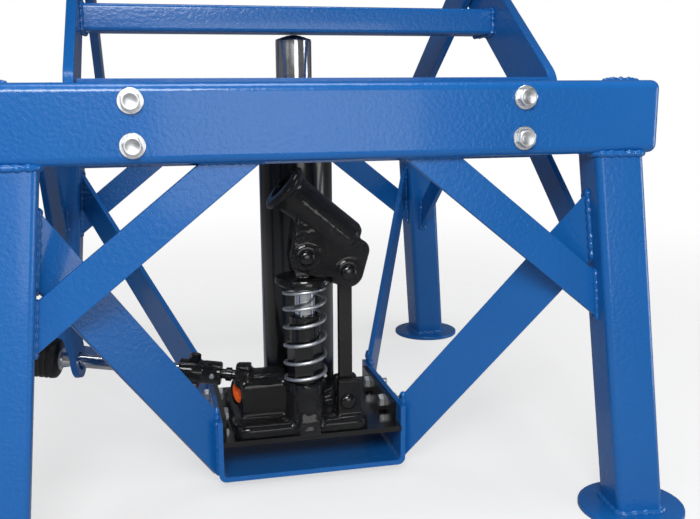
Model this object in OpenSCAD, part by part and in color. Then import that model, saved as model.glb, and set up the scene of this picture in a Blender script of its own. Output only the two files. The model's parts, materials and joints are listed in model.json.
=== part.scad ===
// Hydraulic scissor lift stand: a tube base, a bottle jack in a hanging cradle,
// and two pairs of crossed arms that carry a level platform.
// Origin: on the floor under the middle of the base ring. +X right, +Y back, +Z up.

/* [Base frame] */
// Width of the base ring, side to side
ring_w = 460; // [456:1:470]
// Depth of the base ring, front to back
ring_d = 500; // [496:1:510]
// Height of the top of the base ring above the floor
ring_top = 318; // [316:1:320]
// Height of the ring's rectangular tube
rail_h = 50; // [48:1:52]
// Thickness of the ring's rectangular tube
rail_t = 30; // [28:1:30]
// Width of the square leg tube
leg_w = 35; // [32:1:36]
// Outward lean of each leg from top to foot, side to side
leg_splay_x = 23; // [20:1:26]
// Outward lean of each leg from top to foot, front to back
leg_splay_y = 17.5; // [15:0.5:20]
// Width of the flat bar of the corner braces
brace_w = 25; // [20:1:28]
// Width of the flat bar of the cradle straps
strap_w = 35; // [30:1:36]

/* [Cradle] */
// Inside width of the cradle that holds the jack
cradle_w = 144; // [142:1:148]
// Length of the cradle, front to back
cradle_l = 130; // [126:1:134]
// Height of the cradle's walls
cradle_h = 50; // [48:1:54]

/* [Scissor] */
// Distance between the end pivots of a scissor arm
arm_l = 331; // [326:1:334]
// Width of the flat bar of the arms that turn on the front pivots
front_arm_w = 50; // [45:1:50]
// Width of the flat bar of the arms that roll at the back
rear_arm_w = 36; // [32:1:36]
// Thickness of a scissor arm's flat bar
arm_t = 7; // [6:0.5:7]
// Slope of the arms as stored, in degrees
arm_angle = 34.5; // [33:0.5:36]

/* [Platform] */
// Length of the platform, front to back
deck_l = 390; // [380:5:400]
// Height of the rubber pads on the platform
pad_h = 8; // [6:1:12]

/* [Jack] */
// Outer radius of the jack's oil reservoir
cylinder_r = 30; // [28:0.5:30]
// Radius of the jack's ram
ram_r = 14.4; // [13:0.1:15]
// Radius of the pump piston
piston_r = 8; // [7:0.5:8]

/* [Hidden] */
$fn = 48;

fit = 0.05;            // radial play of a pin in its hole
tube_wall = 2;
plate_t = 5;           // flat bar of braces and straps
rail_r = 6;            // corner radius of the ring tube
foot_t = 4;
foot_r = 39;
ring_bottom = ring_top - rail_h;
half_w = ring_w / 2;
half_d = ring_d / 2;

leg_top = [half_w - 28, -(half_d - leg_w / 2), ring_bottom];
leg_foot = [leg_top.x + leg_splay_x, leg_top.y - leg_splay_y, foot_t];
leg_twist = 4.6;

cradle_z = 9;          // underside of the cradle's floor
cradle_t = 4;
cradle_front = -153;
cradle_top = cradle_z + cradle_h;
cradle_bolt_y = [-112, -62];
cradle_bolt_z = cradle_top - 9;
jack_z = 43;           // top of the raised plate that the jack stands on
jack_y = -86;          // axis of the ram
pump_y = -141;         // axis of the pump
pump_x = -4;

bolt_x = 128;          // bolts through the front rail
bolt_z = [ring_top - 11, ring_top - 38];
bolt_r = 4;
bolt_af = 11;          // across the flats of the heads and nuts

pin_r = 5;
pivot = [0, -193.6, 309.3];                   // lower front pivot of the scissor
reach = arm_l * cos(arm_angle);
rise = arm_l * sin(arm_angle);
front_arm_x = 162;                            // inner face of a front arm
rear_arm_x = front_arm_x - arm_t - 1.5;       // inner face of a rear arm
lower_roller = [0, pivot.y + reach, pivot.z];
upper_hinge = [0, pivot.y, pivot.z + rise];
upper_roller = [0, pivot.y + reach, pivot.z + rise];
arm_centre = [0, pivot.y + reach / 2, pivot.z + rise / 2];
roller_r = 10;
roller_x = 176;                               // inner face of a roller
roller_w = 14;
beam = [40, 20];                              // lift beam section, depth by height
beam_y = -88;
beam_z = 356;                                 // underside of the lift beam
saddle_gap = 0.8;
saddle_dome = 25;
saddle_t = 4;

deck_z = upper_hinge.z + front_arm_w / 2 + 1;
deck_x = 196;
deck_front = -215;
deck_t = 5;

piston_pin = [0, 186];                        // in the X-Z plane of the pump linkage
link_pin = [33, 173];
link_foot = [33, 66];
link_w = 15;
socket_mouth = [-17, 241];
socket_end = [39, 194];
socket_angle = atan2(socket_end.y - socket_mouth.y, socket_end.x - socket_mouth.x);
socket_l = norm(socket_end - socket_mouth);
ear_t = 6;
piston_head_t = 11;
gland_top = 139;
tower_top = 85;
spring_top = 162;
cap_r = 23;
cap_t = 8;

valve = [-57, -120, 86];                      // where the release stem leaves the base
valve_yaw = 11.3;
valve_tilt = 6.5;
plug_r = 9;
plug_t = 6;
plug_turn = 20;                               // the plug faces partly to the front
plug_z = jack_z + 28;
valve_block = [38, 30, 47];
hanger_s = 127;                               // distances along the release rod
knob_s = 139;

// rectangle with round corners, about its centre
module round_rect(w, h, r) {
    square([w - 2 * r, h], center = true);
    square([w, h - 2 * r], center = true);
    for (x = [-1, 1], y = [-1, 1])
        translate([x * (w / 2 - r), y * (h / 2 - r)]) circle(r = r);
}

// child placed at p with its X axis pointing to q and its Z axis as upright as can be
module along(p, q) {
    d = q - p;
    translate(p)
        rotate([0, -atan2(d.z, norm([d.x, d.y])), atan2(d.y, d.x)])
            children();
}

// outline drawn in the Y-Z plane and made thick along +X from x
module in_yz(x, t) {
    translate([x, 0, 0]) rotate([90, 0, 90]) linear_extrude(t) children();
}

// outline drawn in the X-Z plane and made thick along +Y from y
module in_xz(y, t) {
    translate([0, y + t, 0]) rotate([90, 0, 0]) linear_extrude(t) children();
}

// round bar along X, from x0 to x1
module x_pin(x0, x1, r) {
    translate([x0, 0, 0]) rotate([0, 90, 0]) cylinder(r = r, h = x1 - x0);
}

// round bar along Y, from y0 to y1
module y_pin(y0, y1, r) {
    translate([0, y1, 0]) rotate([90, 0, 0]) cylinder(r = r, h = y1 - y0);
}

// the pump's own frame: its axis stands at X = 0
module at_pump() {
    translate([pump_x, 0, 0]) children();
}

module both_sides() {
    children();
    mirror([1, 0, 0]) children();
}

// -------------------------------------------------------------- base frame

module ring_tube(l, axis) {
    turn = axis == "x" ? [90, 0, 90] : [90, 0, 0];
    rotate(turn) linear_extrude(l, center = true) round_rect(rail_t, rail_h, rail_r);
}

module ring_bore(l, axis) {
    turn = axis == "x" ? [90, 0, 90] : [90, 0, 0];
    rotate(turn) linear_extrude(l, center = true)
        round_rect(rail_t - 2 * tube_wall, rail_h - 2 * tube_wall, rail_r - tube_wall);
}

module front_rail() color("royalblue")
    translate([0, -(half_d - rail_t / 2), ring_top - rail_h / 2])
        difference() {
            ring_tube(ring_w, "x");
            ring_bore(ring_w - 2 * tube_wall, "x");
            for (x = [-bolt_x, bolt_x], z = bolt_z)
                translate([x, 0, z - ring_top + rail_h / 2]) y_pin(-rail_t, rail_t, bolt_r + 0.3);
        }

module rear_rail() color("royalblue")
    translate([0, half_d - rail_t / 2, ring_top - rail_h / 2])
        difference() {
            ring_tube(ring_w, "x");
            ring_bore(ring_w - 2 * tube_wall, "x");
            for (x = [-150, 150]) translate([x, 0, -rail_h]) cylinder(r = 4, h = rail_h);
        }

module side_rails() color("royalblue")
    both_sides()
        translate([half_w - rail_t / 2, 0, ring_top - rail_h / 2])
            difference() {
                ring_tube(ring_d - 2 * rail_t, "y");
                ring_bore(ring_d, "y");
            }

// one leg's round-cornered block, right front corner, cut level at foot and ring
module leg_block(w, r) {
    d = leg_top - leg_foot;
    lean = acos(d.z / norm(d));
    heading = atan2(d.y, d.x);
    intersection() {
        translate(leg_foot) rotate([0, lean, heading]) rotate([0, 0, -leg_twist - heading])
            translate([0, 0, -20]) linear_extrude(norm(d) + 40) round_rect(w, w, r);
        translate([0, -half_d, foot_t + (ring_bottom - foot_t) / 2])
            cube([2 * ring_w, ring_d, ring_bottom - foot_t], center = true);
    }
}

module leg(mx, my)
    color("royalblue")
        mirror([mx, 0, 0]) mirror([0, my, 0])
            difference() {
                leg_block(leg_w, 5);
                leg_block(leg_w - 2 * tube_wall, 3);
            }

module leg_front_left() leg(1, 0);
module leg_front_right() leg(0, 0);
module leg_rear_left() leg(1, 1);
module leg_rear_right() leg(0, 1);

module foot_discs() color("royalblue")
    for (x = [-leg_foot.x, leg_foot.x], y = [-leg_foot.y, leg_foot.y])
        translate([x, y, 0]) cylinder(r = foot_r, h = foot_t);

// flat bar from under the ring, 67 mm off the middle, down to a leg
module front_brace() {
    slope = 39;
    length = 185;
    difference() {
        translate([67, -half_d + 10, ring_bottom]) rotate([0, slope, 0])
            translate([-40, 0, -brace_w / 2]) cube([length + 40, plate_t, brace_w]);
        translate([0, -half_d, ring_bottom + 50]) cube([ring_w, 100, 100], center = true);
        leg_block(leg_w, 5);
    }
}

module side_brace() {
    slope = 39;
    length = 195;
    difference() {
        translate([half_w - 22, -87, ring_bottom]) rotate([slope, 0, 0])
            translate([0, -length, -brace_w / 2]) cube([plate_t, length + 40, brace_w]);
        translate([half_w, 0, ring_bottom + 50]) cube([100, ring_d, 100], center = true);
        leg_block(leg_w, 5);
    }
}

module front_braces() color("royalblue") both_sides() front_brace();
module rear_braces() color("royalblue") both_sides() mirror([0, 1, 0]) front_brace();
module right_braces() color("royalblue") { side_brace(); mirror([0, 1, 0]) side_brace(); }
module left_braces() color("royalblue") mirror([1, 0, 0]) { side_brace(); mirror([0, 1, 0]) side_brace(); }

// -------------------------------------------------------------- cradle

module cradle_outline(grow) {
    intersection() {
        translate([0, cradle_z + 60]) round_rect(cradle_w + 2 * grow, 120, 6);
        translate([0, cradle_z + cradle_h / 2]) square([ring_w, cradle_h], center = true);
    }
}

module cradle() color("royalblue")
    difference() {
        in_xz(cradle_front, cradle_l)
            difference() {
                cradle_outline(cradle_t);
                translate([0, cradle_z + cradle_t + 60]) round_rect(cradle_w, 120, 3);
            }
        for (y = cradle_bolt_y)
            translate([0, y, cradle_bolt_z]) x_pin(-cradle_w, cradle_w, 3.2);
    }

// strap from the cradle's outer wall up to a front leg, right side
module front_strap() {
    upper_start = [cradle_w / 2, -140, cradle_top];
    upper_end = [187, -228, 238];
    difference() {
        along(upper_start, upper_end)
            translate([-30, -plate_t / 2, -strap_w])
                cube([norm(upper_end - upper_start) + 42, plate_t, strap_w]);
        translate([0, 0, 50]) cube([cradle_w + 2 * cradle_t, 400, 300], center = true);
        leg_block(leg_w, 5);
    }
}

module rear_strap() {
    upper_start = [cradle_w / 2, -44, cradle_top];
    upper_end = [187, 226, 215];
    difference() {
        along(upper_start, upper_end)
            translate([-30, -plate_t / 2, -strap_w])
                cube([norm(upper_end - upper_start) + 44, plate_t, strap_w]);
        translate([0, 0, 50]) cube([cradle_w + 2 * cradle_t, 400, 300], center = true);
        mirror([0, 1, 0]) {
            leg_block(leg_w, 5);
            front_brace();
        }
    }
}

module front_straps() color("royalblue") both_sides() front_strap();
module rear_straps() color("royalblue") both_sides() rear_strap();

// plate that lifts the jack off the cradle's floor, with turned-up sides
module jack_plate() color("dimgray") {
    edge_t = 4;
    difference() {
        union() {
            translate([-cradle_w / 2, cradle_front - 2, jack_z - edge_t])
                cube([cradle_w, cradle_l, edge_t]);
            for (x = [-cradle_w / 2, cradle_w / 2 - edge_t])
                translate([x, cradle_front + 14, jack_z - edge_t])
                    cube([edge_t, cradle_l - 30, cradle_top - jack_z + edge_t - 1]);
        }
        for (y = cradle_bolt_y)
            translate([0, y, cradle_bolt_z]) x_pin(-cradle_w, cradle_w, 3.2);
    }
}

// hexagon head bolt along +X from a seat at the origin, with its nut
module x_bolt(r, l, head_af, head_h, nut_x) {
    x_pin(0, l, r);
    translate([-head_h, 0, 0]) rotate([0, 90, 0]) cylinder(r = head_af / sqrt(3), h = head_h, $fn = 6);
    translate([nut_x, 0, 0]) rotate([0, 90, 0])
        difference() {
            cylinder(r = head_af / sqrt(3), h = head_h, $fn = 6);
            cylinder(r = r, h = head_h);
        }
}

module cradle_bolts() color("silver")
    both_sides()
        for (y = cradle_bolt_y)
            translate([cradle_w / 2 - cradle_t, y, cradle_bolt_z])
                x_bolt(3, 17, 10, 4, 2 * cradle_t);

// release rod's own frame: +X runs out along the rod from the jack
module on_rod(s) {
    translate(valve) rotate([0, 0, 180 - valve_yaw]) rotate([0, -valve_tilt, 0])
        translate([s, 0, 0]) children();
}

// bar that hangs from the left rail and guides the rod
module rod_hanger() color("royalblue")
    difference() {
        on_rod(hanger_s) rotate([0, valve_tilt, 0]) rotate([0, 5.3, 0])
            in_yz(-plate_t / 2, plate_t) {
                circle(r = 14);
                translate([-14, 0]) square([28, 200]);
            }
        on_rod(hanger_s) x_pin(-30, 30, 7);
        translate([-half_w + rail_t - 100, -100, 250]) cube([200, 400, 200], center = true);
    }

// -------------------------------------------------------------- scissor base

// lug from the carrier's plate round the pivot, flat on top just above the ring
module pivot_lug() {
    lug_r = 16;
    lug_top = 10;
    back = pivot.y + half_d - rail_t;
    intersection() {
        union() {
            circle(r = lug_r);
            translate([-back, -lug_r]) square([back, 2 * lug_r]);
        }
        translate([-2 * lug_r, -lug_r]) square([4 * lug_r, lug_r + lug_top]);
    }
}

module pivot_carrier() color("royalblue") {
    lug_t = 6;
    carrier_half = front_arm_x - 2;
    carrier_low = 264.5;
    difference() {
        union() {
            translate([-carrier_half, -half_d + rail_t, carrier_low])
                cube([2 * carrier_half, plate_t, ring_top + 2.5 - carrier_low]);
            both_sides() translate(pivot) in_yz(carrier_half - lug_t, lug_t) pivot_lug();
        }
        translate(pivot) x_pin(-half_w, half_w, pin_r + fit);
        for (x = [-bolt_x, bolt_x], z = bolt_z)
            translate([x, -half_d + rail_t, z]) y_pin(-1, 20, bolt_r + 0.3);
    }
}

module carrier_bolts() color("silver")
    for (x = [-bolt_x, bolt_x], z = bolt_z)
        translate([x, -half_d, z]) {
            y_pin(-1.6, 0, 8);
            translate([0, -1.6, 0]) y_pin(0, 46, bolt_r);
            translate([0, -1.6, 0]) rotate([90, 0, 0]) cylinder(r = bolt_af / sqrt(3), h = 5.3, $fn = 6);
        }

module carrier_nuts() color("silver")
    for (x = [-bolt_x, bolt_x], z = bolt_z)
        translate([x, -half_d + rail_t + plate_t, z])
            difference() {
                union() {
                    y_pin(0, 1.6, 8);
                    translate([0, 1.6 + 6.5, 0]) rotate([90, 0, 0])
                        cylinder(r = bolt_af / sqrt(3), h = 6.5, $fn = 6);
                }
                y_pin(-1, 20, bolt_r + fit);
            }

// angle section that carries a rear roller along the side rail
module roller_tracks() color("royalblue") {
    track_t = 3;
    seat_z = pivot.z - roller_r - 0.2;
    both_sides()
        translate([0, -40, 0]) {
            translate([half_w - rail_t - 25, 0, seat_z - track_t]) cube([25, 220, track_t]);
            translate([half_w - rail_t - track_t, 0, seat_z - track_t])
                cube([track_t, 220, ring_top - seat_z]);
        }
}

// -------------------------------------------------------------- scissor arms

// flat bar with round ends, from its first pivot along +X, with its three holes
module arm_outline(w) {
    difference() {
        union() {
            translate([0, -w / 2]) square([arm_l, w]);
            circle(r = w / 2);
            translate([arm_l, 0]) circle(r = w / 2);
        }
        for (s = [0, arm_l / 2, arm_l]) translate([s, 0]) circle(r = pin_r + fit);
    }
}

module front_arm_right() color("royalblue")
    translate(pivot) in_yz(front_arm_x, arm_t) rotate(arm_angle) arm_outline(front_arm_w);

module front_arm_left() color("royalblue") mirror([1, 0, 0]) front_arm_right();

module rear_arm_right() color("royalblue")
    translate(lower_roller) in_yz(rear_arm_x, arm_t) rotate(180 - arm_angle) arm_outline(rear_arm_w);

module rear_arm_left() color("royalblue") mirror([1, 0, 0]) rear_arm_right();

module lift_beam() color("royalblue")
    translate([0, beam_y, beam_z + beam.y / 2]) rotate([90, 0, 90])
        linear_extrude(2 * front_arm_x, center = true)
            difference() {
                round_rect(beam.x, beam.y, 3);
                round_rect(beam.x - 5, beam.y - 5, 1);
            }

module rear_tie_tube() color("royalblue") {
    tie_s = 250;       // along the rear arms, up from their rollers
    tie_r = 10;
    translate(lower_roller + tie_s * [0, -cos(arm_angle), sin(arm_angle)])
        difference() {
            x_pin(-rear_arm_x, rear_arm_x, tie_r);
            x_pin(-rear_arm_x - 1, rear_arm_x + 1, tie_r - tube_wall);
        }
}

// pin along X with a washer-like head at one end and a clip collar at the other
module headed_pin(x0, x1, head_r, head_t) {
    x_pin(x0, x1, pin_r);
    x_pin(x1, x1 + head_t, head_r);
    x_pin(x0 - head_t, x0, head_r);
}

module centre_pins() color("silver")
    both_sides() translate(arm_centre)
        headed_pin(rear_arm_x - 0.3, front_arm_x + arm_t + 0.3, 8, 3.5);

module lower_pivot_pins() color("silver")
    both_sides() translate(pivot)
        headed_pin(rear_arm_x + 0.2, front_arm_x + arm_t + 0.3, 8, 3.5);

// axle from a rear or front arm out to its roller, with a spacer collar
module roller_axle(arm_x) {
    headed_pin(arm_x - 0.3, roller_x + roller_w + 0.4, 7, 2);
    x_pin(arm_x + arm_t + 0.3, roller_x - 0.4, 8);
}

module lower_roller_axles() color("silver")
    both_sides() translate(lower_roller) roller_axle(rear_arm_x);

module top_roller_axles() color("silver")
    both_sides() translate(upper_roller) roller_axle(front_arm_x);

module roller() {
    difference() {
        x_pin(roller_x, roller_x + roller_w, roller_r);
        x_pin(roller_x - 1, roller_x + roller_w + 1, pin_r + fit);
    }
}

module lower_roller_right() color("dimgray") translate(lower_roller) roller();
module lower_roller_left() color("dimgray") mirror([1, 0, 0]) lower_roller_right();
module top_roller_right() color("dimgray") translate(upper_roller) roller();
module top_roller_left() color("dimgray") mirror([1, 0, 0]) top_roller_right();

// -------------------------------------------------------------- platform

module side_channel() {
    flange_t = 3;
    inner = roller_r + 0.4;
    length = deck_l;
    translate([deck_x - 24, deck_front, upper_hinge.z - inner - flange_t])
        cube([24, length, flange_t]);
    translate([deck_x - 24, deck_front, upper_hinge.z + inner]) cube([24, length, flange_t]);
    translate([deck_x - flange_t, deck_front, upper_hinge.z - inner - flange_t])
        cube([flange_t, length, deck_z - upper_hinge.z + inner + flange_t]);
    translate([deck_x - 36, deck_front, deck_z]) cube([36, length, deck_t]);
}

module platform_channels() color("royalblue") both_sides() side_channel();

// cross bars under the pads, and the lugs of the hinge, between the channels
module platform_bars() color("royalblue") {
    bar_w = 50;
    lug_t = 6;
    lug_half = 17;
    for (y = [deck_front, deck_front + deck_l / 2 - bar_w / 2, deck_front + deck_l - bar_w])
        translate([-deck_x + 36, y, deck_z]) cube([2 * deck_x - 72, bar_w, deck_t]);
    both_sides()
        difference() {
            translate([front_arm_x + 0.5, pivot.y - lug_half, upper_hinge.z - 16])
                cube([lug_t, 2 * lug_half, deck_z - upper_hinge.z + 16]);
            translate(upper_hinge) x_pin(-deck_x, deck_x, pin_r + fit);
        }
}

module platform_pads() color("#202020")
    for (y = [deck_front + 5, deck_front + deck_l - 45])
        translate([0, y + 20, deck_z + deck_t]) linear_extrude(pad_h) round_rect(370, 40, 8);

module platform_hinge_pins() color("silver")
    both_sides() translate(upper_hinge)
        headed_pin(rear_arm_x - 0.3, front_arm_x + 6.8, 7, 2.5);

// -------------------------------------------------------------- jack

module jack_base() color("#1b1b1b")
    difference() {
        union() {
            translate([-5, (cradle_front + jack_y + 34) / 2 + 1, jack_z]) linear_extrude(11)
                round_rect(102, jack_y + 34 - cradle_front - 2, 8);
            translate([0, jack_y, jack_z]) cylinder(r = 36, h = 18);
            at_pump() {
                translate([0, pump_y, jack_z]) cylinder(r = 16, h = tower_top - jack_z);
                translate([-10, cradle_front - 6, jack_z]) cube([20, 18, 24]);
                translate([link_foot.x - 8, pump_y - 8, jack_z]) cube([19, 22, 41]);
            }
            translate([valve.x + 2, valve.y - valve_block.y / 2, jack_z]) cube(valve_block);
            on_plug() x_pin(-1, 16, plug_r + 3.5);
        }
        translate([0, jack_y, jack_z + 10]) cylinder(r = cylinder_r + fit, h = 60);
        at_pump() {
            translate([0, pump_y, jack_z + 2]) cylinder(r = piston_r + 1, h = 60);
            translate([link_foot.x, 0, link_foot.y]) y_pin(-200, 0, 4 + fit);
            translate([15, pump_y - 0.5, jack_z + 8]) cube([40, 7, 50]);
        }
        on_rod(-18) x_pin(0, 40, 4 + fit);
        on_plug() x_pin(-2, plug_t, plug_r + fit);
    }

// plug's own frame: +X runs into the jack's base
module on_plug() {
    translate([valve.x, valve.y, plug_z]) rotate(plug_turn) children();
}

module release_plug() color("orangered") on_plug() x_pin(0, plug_t, plug_r);

module jack_reservoir() color("#1b1b1b")
    translate([0, jack_y, jack_z + 10])
        difference() {
            cylinder(r = cylinder_r, h = 227);
            translate([0, 0, 3]) cylinder(r = cylinder_r - 3, h = 227);
        }

module pressure_cylinder() color("#606060")
    translate([0, jack_y, jack_z + 13])
        difference() {
            cylinder(r = ram_r + 4, h = 215);
            translate([0, 0, 4]) cylinder(r = ram_r + fit, h = 215);
        }

module jack_top_nut() color("#1b1b1b")
    translate([0, jack_y, jack_z + 237])
        difference() {
            cylinder(r = cylinder_r + 1, h = 13);
            translate([0, 0, -1]) cylinder(r = ram_r + fit, h = 20);
        }

saddle_top = beam_z - saddle_gap;

module jack_ram() color("silver")
    translate([0, jack_y, 110]) cylinder(r = ram_r, h = saddle_top - saddle_t - 110);

module ram_saddle() color("#1b1b1b")
    translate([0, jack_y, 0])
        intersection() {
            translate([0, 0, saddle_top - saddle_t]) cylinder(r = ram_r - 1.2, h = saddle_t + 1);
            translate([0, 0, saddle_top - saddle_dome]) sphere(r = saddle_dome);
        }

module pump_gland() color("#1b1b1b") at_pump()
    translate([0, pump_y, tower_top])
        difference() {
            rotate(15) cylinder(r = 14.2, h = gland_top - tower_top, $fn = 6);
            translate([0, 0, -1]) cylinder(r = piston_r + fit, h = 100);
        }

module pump_piston() color("silver") at_pump()
    difference() {
        union() {
            translate([0, pump_y, 68]) cylinder(r = piston_r, h = spring_top + 9 - 68);
            in_xz(pump_y - piston_head_t / 2, piston_head_t) {
                translate(piston_pin) circle(r = 11);
                translate([-piston_r, spring_top + 8]) square([2 * piston_r, 12]);
            }
        }
        translate([piston_pin.x, 0, piston_pin.y]) y_pin(-200, 0, pin_r + 1.5);
    }

module spring_cap() color("#1b1b1b") at_pump()
    translate([0, pump_y, spring_top])
        difference() {
            cylinder(r = cap_r, h = cap_t);
            translate([0, 0, -1]) cylinder(r = piston_r + fit, h = 12);
        }

// wire coiled round the gland, swept as rings of points along a helix
module pump_spring() color("silver") {
    wire = 1.45;
    coil = 16;
    turns = 6.25;
    steps = 150;
    sides = 8;
    bottom = tower_top + wire + 0.1;
    top = spring_top - wire - 0.1;
    lead = atan((top - bottom) / turns / (2 * PI * coil));
    rings = [for (i = [0:steps], j = [0:sides - 1])
        let (a = i * 360 * turns / steps, b = j * 360 / sides,
             out = wire * cos(b), up = wire * sin(b))
        [(coil + out) * cos(a) + up * sin(lead) * sin(a),
         (coil + out) * sin(a) - up * sin(lead) * cos(a),
         bottom + (top - bottom) * i / steps + up * cos(lead)]];
    skin = [for (i = [0:steps - 1], j = [0:sides - 1])
        let (k = (j + 1) % sides)
        [i * sides + j, i * sides + k, (i + 1) * sides + k, (i + 1) * sides + j]];
    ends = [[for (j = [sides - 1:-1:0]) j], [for (j = [0:sides - 1]) steps * sides + j]];
    translate([pump_x, pump_y, 0]) polyhedron(rings, concat(skin, ends));
}

// casting with the tube that takes the pump handle
module handle_socket() color("#1b1b1b") at_pump()
    difference() {
        union() {
            translate([socket_mouth.x, pump_y, socket_mouth.y]) rotate([0, -socket_angle, 0]) {
                x_pin(0, socket_l, 15);
                x_pin(0, 6, 20);
            }
            in_xz(pump_y - piston_head_t / 2 - 1 - ear_t, piston_head_t + 2 + 2 * ear_t)
                hull() {
                    translate(piston_pin) circle(r = 12, $fn = 32);
                    translate(link_pin) circle(r = 12, $fn = 32);
                    translate(socket_end + [3, -4]) circle(r = 8, $fn = 32);
                    translate(socket_mouth + [16, -20]) circle(r = 6, $fn = 32);
                }
        }
        // handle bore
        translate([socket_mouth.x, pump_y, socket_mouth.y]) rotate([0, -socket_angle, 0])
            x_pin(-1, socket_l - 8, 11);
        // slot for the piston's head and the link
        in_xz(pump_y - piston_head_t / 2 - 1, piston_head_t + 2)
            polygon([[-30, 140], [60, 140], [60, 186], [14, 200], [-14, 200], [-30, 190]]);
        for (p = [piston_pin, link_pin])
            translate([p.x, 0, p.y]) y_pin(-200, 0, pin_r + fit);
        // room for the spring cap
        translate([0, pump_y, spring_top - 5]) cylinder(r = cap_r + 0.6, h = cap_t + 5.4);
    }

module link_bar() color("#1b1b1b") at_pump()
    in_xz(pump_y, 6)
        difference() {
            union() {
                for (p = [link_pin, link_foot]) translate(p) circle(r = 8.5);
                translate([link_pin.x - link_w / 2, link_foot.y])
                    square([link_w, link_pin.y - link_foot.y]);
            }
            translate(link_pin) circle(r = pin_r + fit);
            translate(link_foot) circle(r = 4 + fit);
        }

module socket_pins() color("#1b1b1b") at_pump()
    for (p = [piston_pin, link_pin])
        translate([p.x, pump_y, p.y]) {
            half = piston_head_t / 2 + 1 + ear_t + 0.2;
            y_pin(-half, half, pin_r);
            y_pin(-half - 3, -half, 6.8);
            y_pin(half, half + 1.5, 6.8);
        }

module link_foot_pin() color("#1b1b1b") at_pump()
    translate([link_foot.x, pump_y, link_foot.y]) {
        y_pin(-8.2, 14.2, 4);
        y_pin(-11.2, -8.2, 6.5);
        y_pin(14.2, 15.7, 6.5);
    }

// -------------------------------------------------------------- release valve

module release_stem() color("#1b1b1b") on_rod(-14) x_pin(0, 30, 4);

module release_coupling() color("#1b1b1b")
    on_rod(12)
        difference() {
            x_pin(0, 34, 9.5);
            x_pin(-1, 6, 4 + fit);
            x_pin(24, 35, 5.5 + fit);
            translate([22, 0, 0]) cylinder(r = 2.5 + fit, h = 40, center = true);
        }

module coupling_bolt() color("#303030")
    on_rod(34) {
        translate([0, 0, -14]) cylinder(r = 2.5, h = 27);
        translate([0, 0, 9.7]) cylinder(r = 8 / sqrt(3), h = 5, $fn = 6);
        translate([0, 0, -14]) cylinder(r = 8 / sqrt(3), h = 4.3, $fn = 6);
    }

// rod with the collar washer that the knob seats on
module release_rod() color("silver")
    on_rod(0) {
        x_pin(38, knob_s + 20, 5.5);
        x_pin(knob_s, knob_s + 1.8, 9);
    }

module release_knob() color("#181818")
    on_rod(knob_s + 2)
        difference() {
            union() {
                x_pin(0, 26, 16);
                translate([26, 0, 0]) x_pin(0, 3, 14);
            }
            x_pin(-1, 18.2, 5.5 + fit);
        }

front_rail();
rear_rail();
side_rails();
leg_front_left();
leg_front_right();
leg_rear_left();
leg_rear_right();
foot_discs();
front_braces();
rear_braces();
left_braces();
right_braces();
front_straps();
rear_straps();
cradle();
jack_plate();
cradle_bolts();
rod_hanger();
pivot_carrier();
carrier_bolts();
carrier_nuts();
roller_tracks();
front_arm_left();
front_arm_right();
lift_beam();
rear_arm_left();
rear_arm_right();
rear_tie_tube();
centre_pins();
lower_pivot_pins();
lower_roller_axles();
lower_roller_left();
lower_roller_right();
platform_bars();
platform_channels();
platform_pads();
platform_hinge_pins();
top_roller_axles();
top_roller_left();
top_roller_right();
jack_base();
jack_reservoir();
pressure_cylinder();
jack_top_nut();
jack_ram();
ram_saddle();
pump_gland();
pump_piston();
pump_spring();
spring_cap();
handle_socket();
link_bar();
socket_pins();
link_foot_pin();
release_plug();
release_stem();
release_coupling();
coupling_bolt();
release_rod();
release_knob();
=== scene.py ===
import json
import math
import random

import bmesh
import bpy
from mathutils import Matrix, Vector


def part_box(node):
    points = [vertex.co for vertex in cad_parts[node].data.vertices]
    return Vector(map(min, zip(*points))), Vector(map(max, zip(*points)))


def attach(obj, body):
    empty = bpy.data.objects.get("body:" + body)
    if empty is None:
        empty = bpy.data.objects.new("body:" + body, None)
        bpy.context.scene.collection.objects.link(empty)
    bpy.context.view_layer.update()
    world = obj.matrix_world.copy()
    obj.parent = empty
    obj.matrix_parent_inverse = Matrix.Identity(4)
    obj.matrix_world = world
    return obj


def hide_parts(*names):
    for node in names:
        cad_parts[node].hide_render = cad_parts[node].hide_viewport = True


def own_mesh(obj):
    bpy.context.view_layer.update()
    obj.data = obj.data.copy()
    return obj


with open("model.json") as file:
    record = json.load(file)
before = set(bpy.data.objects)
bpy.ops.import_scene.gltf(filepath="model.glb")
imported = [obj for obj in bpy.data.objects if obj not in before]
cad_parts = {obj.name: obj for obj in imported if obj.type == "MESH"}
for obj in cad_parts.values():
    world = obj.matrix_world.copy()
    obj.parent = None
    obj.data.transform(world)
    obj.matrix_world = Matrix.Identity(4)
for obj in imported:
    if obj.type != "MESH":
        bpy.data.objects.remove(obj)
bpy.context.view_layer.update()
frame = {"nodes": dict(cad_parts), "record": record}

MM = 0.001
X, Y, Z = Vector((1, 0, 0)), Vector((0, 1, 0)), Vector((0, 0, 1))
joints = {j["name"]: j for j in frame["record"]["behaviour"]["joints"]}
mounts = {m["name"]: m for m in frame["record"]["mounts"]}
scene = bpy.context.scene


# ---------------------------------------------------------------- camera, floor and lights

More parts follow.
